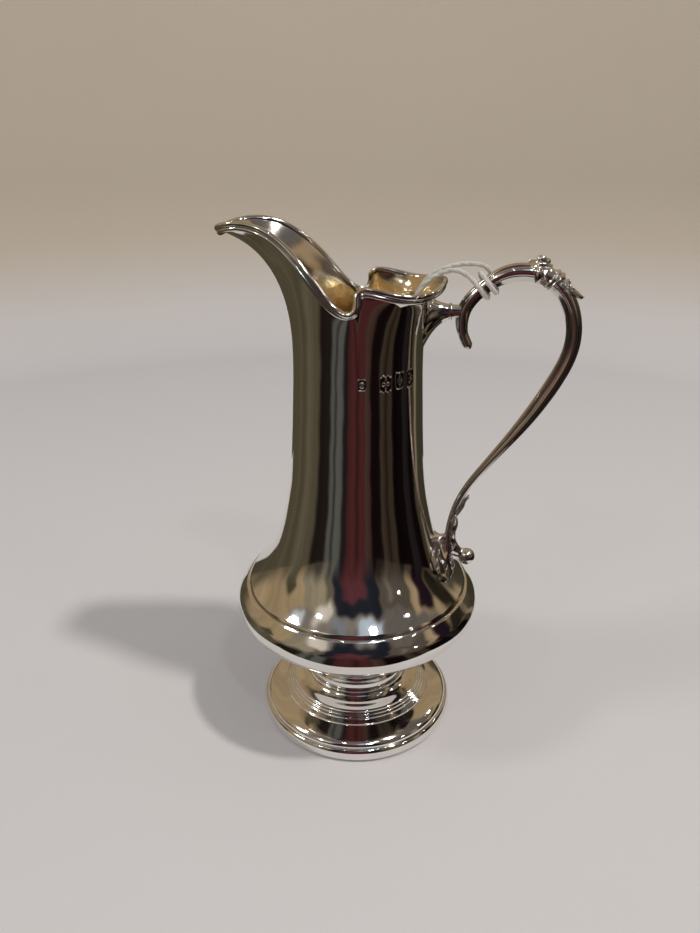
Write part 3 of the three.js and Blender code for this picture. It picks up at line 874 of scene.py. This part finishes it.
def build_lower_bracket():
    """A smooth flare from the end of the scroll that ends on the shoulder in a row of lobes."""
    far, turn = grid_of(np.linspace(0, 1, 96), np.linspace(-100, 100, 241))
    side = np.abs(turn)
    lobes = np.abs(np.cos(np.radians(turn * 180 / 23.5)))
    radius = np.interp(side, [0, 24, 44, 56, 70, 84, 100], [12.2, 12.9, 15.0, 15.0, 13.4, 9.8, 6.0])
    radius = radius - 1.2 * (1 - lobes ** 0.7) * np.interp(side, [0, 60, 90, 100], [1.0, 0.9, 0.1, 0.0])
    bend = turn + 8.0 * np.sin(2 * np.pi * far) * np.sign(turn) * np.minimum(side / 20, 1) * (side < 100)
    rho = far * radius
    across, down = rho * np.sin(np.radians(bend)), rho * np.cos(np.radians(bend))
    spine = np.interp(
        down, [-1, 0, 1.5, 3.2, 5.2, 7.6, 9.6, 11.5, 13.0],
        [3.9, 4.1, 4.0, 3.8, 3.3, 2.3, 1.2, 0.4, 0.0]) * smooth_step(down, -1.4, 1.4)
    width = np.interp(down, [-1, 0, 2, 4, 7, 10, 13], [1.25, 1.35, 1.7, 2.3, 3.8, 5.6, 7.0])
    off = np.abs(across) / width
    flare = spine * (0.82 * np.exp(-off ** 2) + 0.18 * np.exp(-off / 1.7))
    calm = np.interp(side, [0, 60, 88, 100], [1.0, 0.9, 0.12, 0.0])
    edge = smooth_step(100 - side, 0.0, 24.0)
    ribs = (lobes ** 1.3 - 0.45) * smooth_step(far, 0.30, 0.78) * calm
    curl = 0.22 * bump_at(far, 0.88, 0.07) * lobes * calm
    proud = 0.17 * edge - 0.06 + flare * edge + 0.34 * ribs + curl
    turned_down = proud + (-0.12 - proud) * smooth_step(far, 0.93, 1.0)
    proud = np.where(far > 0.93, turned_down, np.maximum(proud, -0.02))
    work = Patchwork()
    work.add_leaf(shoulder_point(across, down, proud), shoulder_point(across, down, -0.35))
    # The end of the scroll runs down into the flare, and a web joins it to the body.
    run = Curve([
        (27.05, 0.0, 64.0), (26.95, 0.0, 62.4), (26.8, 0.0, 60.4), (26.9, 0.0, 57.6), (27.4, 0.0, 54.6)])
    half = Curve([
        (0.96, 1.04, 0.0), (1.04, 1.15, 0.25), (1.5, 1.6, 0.5), (1.9, 2.3, 0.75), (1.2, 2.2, 1.0)])
    work.add(stem(run, half, 40))
    web = Curve([(22.62, 0.0, 60.9), (24.4, 0.0, 60.7), (26.8, 0.0, 61.0)])
    thin = Curve([(1.7, 2.3, 0.0), (1.0, 1.35, 0.5), (1.5, 1.2, 1.0)])
    work.add(stem(web, thin, 24))
    cast(work, "shoulder_flare", ["handle_lower_bracket"])


def stem(path, half, rows):
    """Rings along a path in the XZ plane, with half sizes (in plane, across) from half."""
    t = np.linspace(0, 1, rows)
    p, h = path.at(t)[:, None], half.at(t)
    heading = normalised(np.gradient(p[:, 0], axis=0))
    outward = xyz(heading[:, 2], 0.0, -heading[:, 0])[:, None]
    turn = full_turn(36)
    in_plane = (np.cos(turn) * h[:, :1])[..., None] * outward
    across = (np.sin(turn) * h[:, 1:2])[..., None] * np.array([0.0, 1.0, 0.0])
    return p + in_plane + across


def build_ball():
    """A ball on a short waisted neck that leans out of the stem."""
    lean = math.radians(118)
    waist = spline_through([(2.5, -5.2), (2.1, -4.4), (1.72, -3.4), (1.50, -2.75), (1.50, -2.15)], 16)
    ball = arc((0.0, 0.0), 2.45, -54, 86, 34)
    grid = circles(*np.vstack([waist, ball]).T, full_turn(72))
    x = grid[..., 0] * math.cos(lean) + grid[..., 2] * math.sin(lean)
    z = -grid[..., 0] * math.sin(lean) + grid[..., 2] * math.cos(lean)
    work = Patchwork(xyz(x + 32.7, grid[..., 1], z + 54.9))
    cast(work, "ball_finial", ["ball_terminal"])


class Taper:
    """A round section whose radius changes along its path."""
    columns = 16

    def __init__(self, radii):
        self.radii = radii

    def __call__(self, share, angles):
        return np.interp(share, np.linspace(0, 1, len(self.radii)), self.radii) + 0 * angles


def cupped_leaf(centre, half_wide, half_tall, lean, face, rim):
    """An oval leaf with a rolled edge and a dished middle. lean tilts it in its own plane and
    face turns it about the upright, with 0 towards -Y, both in degrees."""
    turn = full_turn(40)
    l, f = math.radians(lean), math.radians(face)
    sideways = np.array([math.cos(f), math.sin(f), 0.0])
    outward = np.array([math.sin(f), -math.cos(f), 0.0])
    upward = np.array([0.0, 0.0, 1.0])
    long_way = upward * math.cos(l) + sideways * math.sin(l)
    short_way = sideways * math.cos(l) - upward * math.sin(l)
    point = 1 + 0.16 * np.clip(np.sin(turn), 0, 1) ** 6
    oval = np.outer(np.cos(turn) * half_wide, short_way)
    oval = oval + np.outer(np.sin(turn) * half_tall * point, long_way)
    section = ((0.05, -0.20), (0.35, -0.17), (0.62, -0.06), (0.80, 0.16), (0.93, 0.30), (1.05, 0.22),
               (1.12, 0.0), (1.05, -0.26), (0.85, -0.42), (0.45, -0.52), (0.05, -0.55))
    return np.array([centre + oval * share + outward * lift * rim * 2 for share, lift in section])


def build_sprig():
    """The forked sprig at the foot of the scroll, its knots and the two cupped leaves below."""
    work = Patchwork()

    def limb(points, radii, rows=26):
        work.add(swept(spline_through(points, rows), Taper(radii)))

    for side in (-1, 1):
        limb([(28.1, 0.45 * side, 67.6), (28.9, 0.70 * side, 69.8), (30.4, 0.72 * side, 72.2),
              (32.2, 0.80 * side, 74.7)], [0.50, 0.46, 0.40, 0.34, 0.16])
        limb([(28.3, 0.6 * side, 67.4), (29.6, 0.95 * side, 69.6), (30.6, 1.00 * side, 71.6),
              (31.2, 1.05 * side, 73.6)], [0.45, 0.40, 0.36, 0.14], 20)
        limb([(28.1, 0.7 * side, 66.6), (28.8, 1.20 * side, 67.4), (29.3, 1.35 * side, 66.9)],
             [0.42, 0.34, 0.12], 12)
        face = 40 if side < 0 else 140
        work.add(cupped_leaf((28.45, 0.95 * side, 64.6), 0.78, 1.75, -8 * side, face, 0.42))
        work.add(cupped_leaf((28.35, 1.25 * side, 60.8), 0.85, 1.95, 8 * side, face, 0.42))
        for x, y, z, size in ((27.7, 0.95, 69.0, 0.50), (28.4, 0.85, 68.1, 0.62),
                              (27.6, 1.05, 66.9, 0.46), (28.7, 0.6, 66.4, 0.46)):
            work.add(berry((x, y * side, z), size))
    limb([(28.4, 0.0, 68.4), (28.9, 0.0, 65.6), (28.5, 0.0, 62.6), (28.6, 0.0, 59.8), (29.6, 0.0, 57.2)],
         [0.55, 0.75, 0.60, 0.80, 1.2], 34)
    cast(work, "forked_sprig", ["lower_leaf"])


def build_marks():
    """Four small struck marks in a row below the fold, with plain ornaments and no letters."""
    def outline(u, v, kind):
        if kind == 1:
            v = v * (1 + 0.10 * np.cos(3 * math.pi * u))
        if kind in (0, 3):
            u = u * (1 + 0.25 * np.clip(-v - 0.35, 0, 1))
        if kind == 2:
            u = u * (1 + 0.45 * np.clip(-v - 0.15, 0, 1) ** 1.5)
            v = v * (1 - 0.12 * (v > 0) * u * u)
        return (np.abs(u) ** 5 + np.abs(v) ** 5) ** 0.2

    def motif(u, v, kind):
        r, a = np.hypot(u, v * 1.05), np.arctan2(v, u)
        if kind == 0:
            return bump_at(r, 0.46, 0.12) + bump_at(r, 0.0, 0.17)
        if kind == 1:
            return bump_at(r, 0.44 + 0.17 * np.cos(4 * a), 0.13) + bump_at(r, 0.0, 0.15)
        if kind == 2:
            return bump_at(np.abs(u) + 0.8 * np.abs(v), 0.50, 0.13) + bump_at(r, 0.0, 0.16)
        return bump_at(r, 0.42 + 0.15 * np.cos(3 * a), 0.12) + 0.8 * bump_at(r, 0.0, 0.13)

    work = Patchwork()
    for kind, (a0, a1, z0, z1) in enumerate((
            (-84.0, -76.6, 110.3, 113.4), (-66.0, -54.4, 109.7, 113.9),
            (-51.3, -41.6, 109.8, 114.3), (-39.0, -29.4, 109.6, 114.5))):
        u, v = grid_of(np.linspace(-1.15, 1.15, 56), np.linspace(-1.15, 1.15, 56))
        edge = outline(u, v, kind)
        within = 1 - smooth_step(edge, 0.90, 0.98)
        proud = -0.12 + 0.16 * (1 - smooth_step(edge, 1.0, 1.10)) + 0.15 * bump_at(edge, 0.93, 0.07)
        proud = proud + 0.15 * np.clip(motif(u, v, kind), 0, 1) * within
        turn = np.radians((a0 + a1) / 2 + u * (a1 - a0) / 2)
        z = (z0 + z1) / 2 + v * (z1 - z0) / 2
        c, s, r = np.cos(turn), np.sin(turn), neck_radius(z)
        top, low = r + proud, r - 0.25
        work.add_leaf(xyz(top * c, top * s, z), xyz(low * c, low * s, z))
    piece(work.build("neck_marks"), [MARKED])


build_marks()
build_scroll()
build_crest()
build_upper_bracket()
build_lower_bracket()
build_ball()
build_sprig()


# ------ studio
MIDDLE_Z = 0.09  # the height that the lamps and the room are about
ROOM_RADIUS = 1.7
TABLE_RADIUS = 2.2
TABLE_Z = 0.0006


def around(azimuth, elevation, distance):
    """A place round the jug, in metres: azimuth 0 is towards the camera, 90 to its right."""
    a, e = np.radians(azimuth) + CAMERA_TURN, np.radians(elevation)
    return xyz(AXIS_X + distance * np.sin(a) * np.cos(e), -distance * np.cos(a) * np.cos(e),
               MIDDLE_Z + distance * np.sin(e))


def paper_material():
    """Pale paper that turns to a warmer tone up the wall."""
    n = Nodes("studio_paper")
    where = n.spot()
    cloud = n.noise(where, 6.0, 3.0, 0.5)
    pale = n.blend(cloud, (0.775, 0.745, 0.74, 1.0), (0.80, 0.77, 0.765, 1.0))
    warm = n.blend(cloud, (0.66, 0.57, 0.46, 1.0), (0.69, 0.60, 0.49, 1.0))
    share = n.ranged(n.parts(where)["Z"], 0.0, 0.10, 0.0, 1.0)
    n.set(Base_Color=n.blend(share, pale, warm), Roughness=0.8, Specular_IOR_Level=0.2)
    return n.material


def hide_from(obj, *rays):
    for ray in rays:
        setattr(obj, "visible_" + ray, False)


def wrapped_mesh(name, grid, material):
    """An object in metres from rings of points, each of which closes on itself."""
    rows, cols = grid.shape[:2]
    faces = [
        (i + j, i + (j + 1) % cols, i + cols + (j + 1) % cols, i + cols + j)
        for i in range(0, (rows - 1) * cols, cols) for j in range(cols)]
    mesh = bpy.data.meshes.new(name)
    mesh.from_pydata(grid.reshape(-1, 3).tolist(), [], faces)
    mesh.materials.append(material)
    return new_object(name, mesh)


def turned_paper(name, profile, material):
    """A round sheet about the jug with the side view given in [radius, height]."""
    grid = circles(*np.array(profile).T, full_turn(120)) + np.array([AXIS_X, 0.0, 0.0])
    sheet = wrapped_mesh(name, grid, material)
    sheet.data.polygons.foreach_set("use_smooth", [True] * len(sheet.data.polygons))
    return sheet


def build_floor():
    """A pale floor, and round it a plain wall with a bend at its foot. Only the floor is seen
    by the silver."""
    paper = paper_material()
    turned_paper("floor", [(0.0001, 0.0), (0.02, 0.0), (0.1, 0.0), (0.25, 0.0), (0.44, 0.0)], paper)
    bend = [(0.44 + 0.14 * math.sin(a), 0.14 - 0.14 * math.cos(a)) for a in np.linspace(0, math.pi / 2, 14)]
    wall = turned_paper("backdrop", bend + [(0.58, 0.6), (0.58, 2.2)], paper)
    hide_from(wall, "glossy", "diffuse", "shadow")


# What the silver mirrors: a plain room of soft patches, each given as azimuth from and to,
# elevation from and to, and colour. Later ones lie over earlier ones.
ROOM = [
    (-180, 180, -20, 95, (0.31, 0.225, 0.13)),
    (-84, 66, 33, 95, (0.20, 0.175, 0.15)),
    (-70, 28, 54, 95, (0.12, 0.11, 0.10)),
    (28, 118, 33, 95, (0.115, 0.100, 0.088)),
    (-66, -30, -20, 33, (0.27, 0.225, 0.155)),
    (-38, -30, -20, 28, (0.10, 0.085, 0.06)),
    (-90, -76, -20, 16, (0.060, 0.052, 0.032)),
    (28, 66, -20, 34, (0.080, 0.066, 0.052)),
    (38, 44, -20, 26, (0.15, 0.12, 0.09)),
    (66, 75, -20, 31, (0.34, 0.245, 0.15)),
    (75, 93, -20, 31, (0.012, 0.006, 0.010)),
    (93, 116, 0, 22, (0.018, 0.014, 0.009)),
    (116, 180, -6, 10, (0.08, 0.066, 0.044)),
    (-30, 28, -20, 42, (0.014, 0.016, 0.022)),
    (-19, 11, -20, 27, (0.085, 0.027, 0.031)),
    (-92, -68, 36, 50, (0.46, 0.49, 0.50)),
    (-54, -34, 31, 45, (0.58, 0.52, 0.45)),
    (-30, -12, 46, 56, (0.20, 0.21, 0.24)),
    (4, 34, 45, 60, (0.44, 0.50, 0.57)),
]

# The polished table round the card, by azimuth alone.
TABLE = [
    (-180, 180, (0.040, 0.035, 0.022)),
    (-160, -70, (0.072, 0.060, 0.037)),
    (-100, -82, (0.098, 0.082, 0.053)),
    (-67, -47, (0.014, 0.010, 0.008)),
    (-46, -25, (0.078, 0.078, 0.070)),
    (-40, -36, (0.030, 0.028, 0.025)),
    (-25, -17, (0.014, 0.010, 0.010)),
    (-17, 12, (0.057, 0.016, 0.016)),
    (-3, 1, (0.026, 0.008, 0.008)),
    (13, 20, (0.050, 0.026, 0.021)),
    (20, 37, (0.006, 0.003, 0.003)),
    (39, 56, (0.034, 0.023, 0.016)),
    (45, 49, (0.012, 0.007, 0.005)),
    (58, 104, (0.004, 0.002, 0.002)),
    (80, 92, (0.012, 0.010, 0.010)),
    (112, 118, (0.190, 0.145, 0.100)),
]


def inside(x, low, high, soft):
    """1 between two limits with soft edges, and 1 everywhere if they are the whole round."""
    if high - low >= 360:
        return np.ones(x.shape)
    return smooth_step(x, low - soft, low + soft) * (1 - smooth_step(x, high - soft, high + soft))


def clutter(azimuth, strength):
    """Uneven brightness from side to side, as in any furnished room."""
    a = np.radians(azimuth)
    wave = np.sin(9 * a + 1.3) + 0.8 * np.sin(17 * a + 4.0) + 0.7 * np.sin(31 * a + 0.6)
    wave = wave + 0.6 * np.sin(53 * a + 2.2) + 0.4 * np.sin(97 * a + 5.1)
    return 1 + strength * wave / 3.5


def laid_over(colour, tint, share):
    return colour + (np.array(tint) - colour) * share[..., None]


def table_light(azimuth):
    colour = np.zeros(azimuth.shape + (3,))
    for a0, a1, tint in TABLE:
        colour = laid_over(colour, tint, inside(azimuth, a0, a1, 1.8))
    return colour * clutter(azimuth, 0.30)[..., None]


def room_light(azimuth, elevation):
    """The patches, with wavering edges, that fade into the table's tones towards the floor."""
    a = azimuth + 3.0 * np.sin(np.radians(elevation * 7 + 40)) + 1.6 * np.sin(np.radians(elevation * 17))
    e = elevation + 2.5 * np.sin(np.radians(azimuth * 9)) + 1.5 * np.sin(np.radians(azimuth * 23 + 50))
    colour = np.zeros(azimuth.shape + (3,))
    for a0, a1, e0, e1, tint in ROOM:
        colour = laid_over(colour, tint, inside(e, e0, e1, 3.2) * inside(a, a0, a1, 2.6))
    colour = colour * clutter(a, 0.24)[..., None] ** (1 - 0.7 * smooth_step(elevation, 30, 60))[..., None]
    near_floor = 1 - smooth_step(e, -4.0, 13.0)
    return laid_over(colour, table_light(azimuth), 0.85 * near_floor)


def glowing_grid(name, grid, light):
    """A closed band of rings that gives off the light stored at its points. Mirror-like
    surfaces see it, and nothing else does."""
    n = Nodes(name + "_glow")
    colour = n.node("VertexColor", layer_name="light").outputs["Color"]
    glow = n.node("Emission", {"Color": colour}).outputs[0]
    n.feed(n.tree.nodes["Material Output"].inputs["Surface"], glow)
    n.tree.nodes.remove(n.shader)
    obj = wrapped_mesh(name, grid, n.material)
    light = light.reshape(-1, 3)
    layer = obj.data.color_attributes.new(name="light", type="FLOAT_COLOR", domain="POINT")
    layer.data.foreach_set("color", np.column_stack([light, np.ones(len(light))]).ravel())
    hide_from(obj, "camera", "diffuse", "shadow", "transmission", "volume_scatter")


def build_room():
    azimuth, elevation = np.meshgrid(np.arange(-180, 180, 1.0), np.linspace(-14, 90, 105))
    glowing_grid("room", around(azimuth, elevation, ROOM_RADIUS), room_light(azimuth, elevation))


def build_table():
    """Its hole is as large as the pale card that the jug stands on."""
    right, left, front, back = 0.098, 0.125, 0.068, 0.200
    azimuth = np.arange(-180, 180, 1.0)
    a = np.radians(azimuth)
    c, s = np.cos(a), np.sin(a)
    near = np.minimum(
        np.where(s > 0, right, left) / np.maximum(np.abs(s), 1e-6),
        np.where(c > 0, front, back) / np.maximum(np.abs(c), 1e-6))
    far = near + (TABLE_RADIUS - near) * np.array([0.0, 0.03, 0.1, 0.3, 1.0])[:, None]
    t = a + CAMERA_TURN
    light = np.repeat(table_light(azimuth)[None], len(far), axis=0)
    glowing_grid("table", xyz(AXIS_X + far * np.sin(t), -far * np.cos(t), TABLE_Z), light)


def lamp(name, azimuth, elevation, distance, width, power, colour):
    data = bpy.data.lights.new(name, "AREA")
    data.shape = "DISK"
    data.size = width
    data.energy = power
    data.color = colour
    obj = new_object(name, data)
    obj.location = around(azimuth, elevation, distance)
    aim = np.array([AXIS_X, 0.0, 0.05]) - np.array(obj.location)
    obj.rotation_euler = Vector(aim.tolist()).to_track_quat("-Z", "Y").to_euler()


def build_world():
    world = bpy.data.worlds.new("studio")
    world.use_nodes = True
    back = world.node_tree.nodes["Background"]
    back.inputs["Color"].default_value = (1.0, 0.97, 0.95, 1.0)
    back.inputs["Strength"].default_value = 0.28
    bpy.context.scene.world = world


bpy.context.scene.view_settings.view_transform = "Standard"
build_floor()
build_room()
build_table()
build_world()
WARM = (1.0, 0.96, 0.92)
# Name, azimuth, elevation, distance, width, power and colour. The spots make the small sparks.
LAMPS = (
    ("key_right", 62, 63, 1.30, 0.10, 6.0, WARM),
    ("key_left", -78, 42, 1.30, 0.22, 2.0, (0.92, 0.96, 1.0)),
    ("front_soft", 20, 52, 1.30, 0.09, 0.8, (0.94, 0.97, 1.0)),
    ("left_front", -46, 40, 1.35, 0.07, 0.4, (1.0, 0.95, 0.88)),
    ("spot_1", 52, 18, 1.35, 0.028, 0.12, WARM), ("spot_2", 60, 38, 1.35, 0.032, 0.16, WARM),
    ("spot_3", 94, 43, 1.35, 0.036, 0.20, WARM), ("spot_4", 36, 62, 1.35, 0.036, 0.18, WARM),
    ("spot_5", -84, 54, 1.35, 0.032, 0.16, WARM), ("spot_6", 118, 40, 1.35, 0.036, 0.16, WARM),
    ("spot_7", -20, 60, 1.35, 0.032, 0.16, WARM))
for lamp_facts in LAMPS:
    lamp(*lamp_facts)
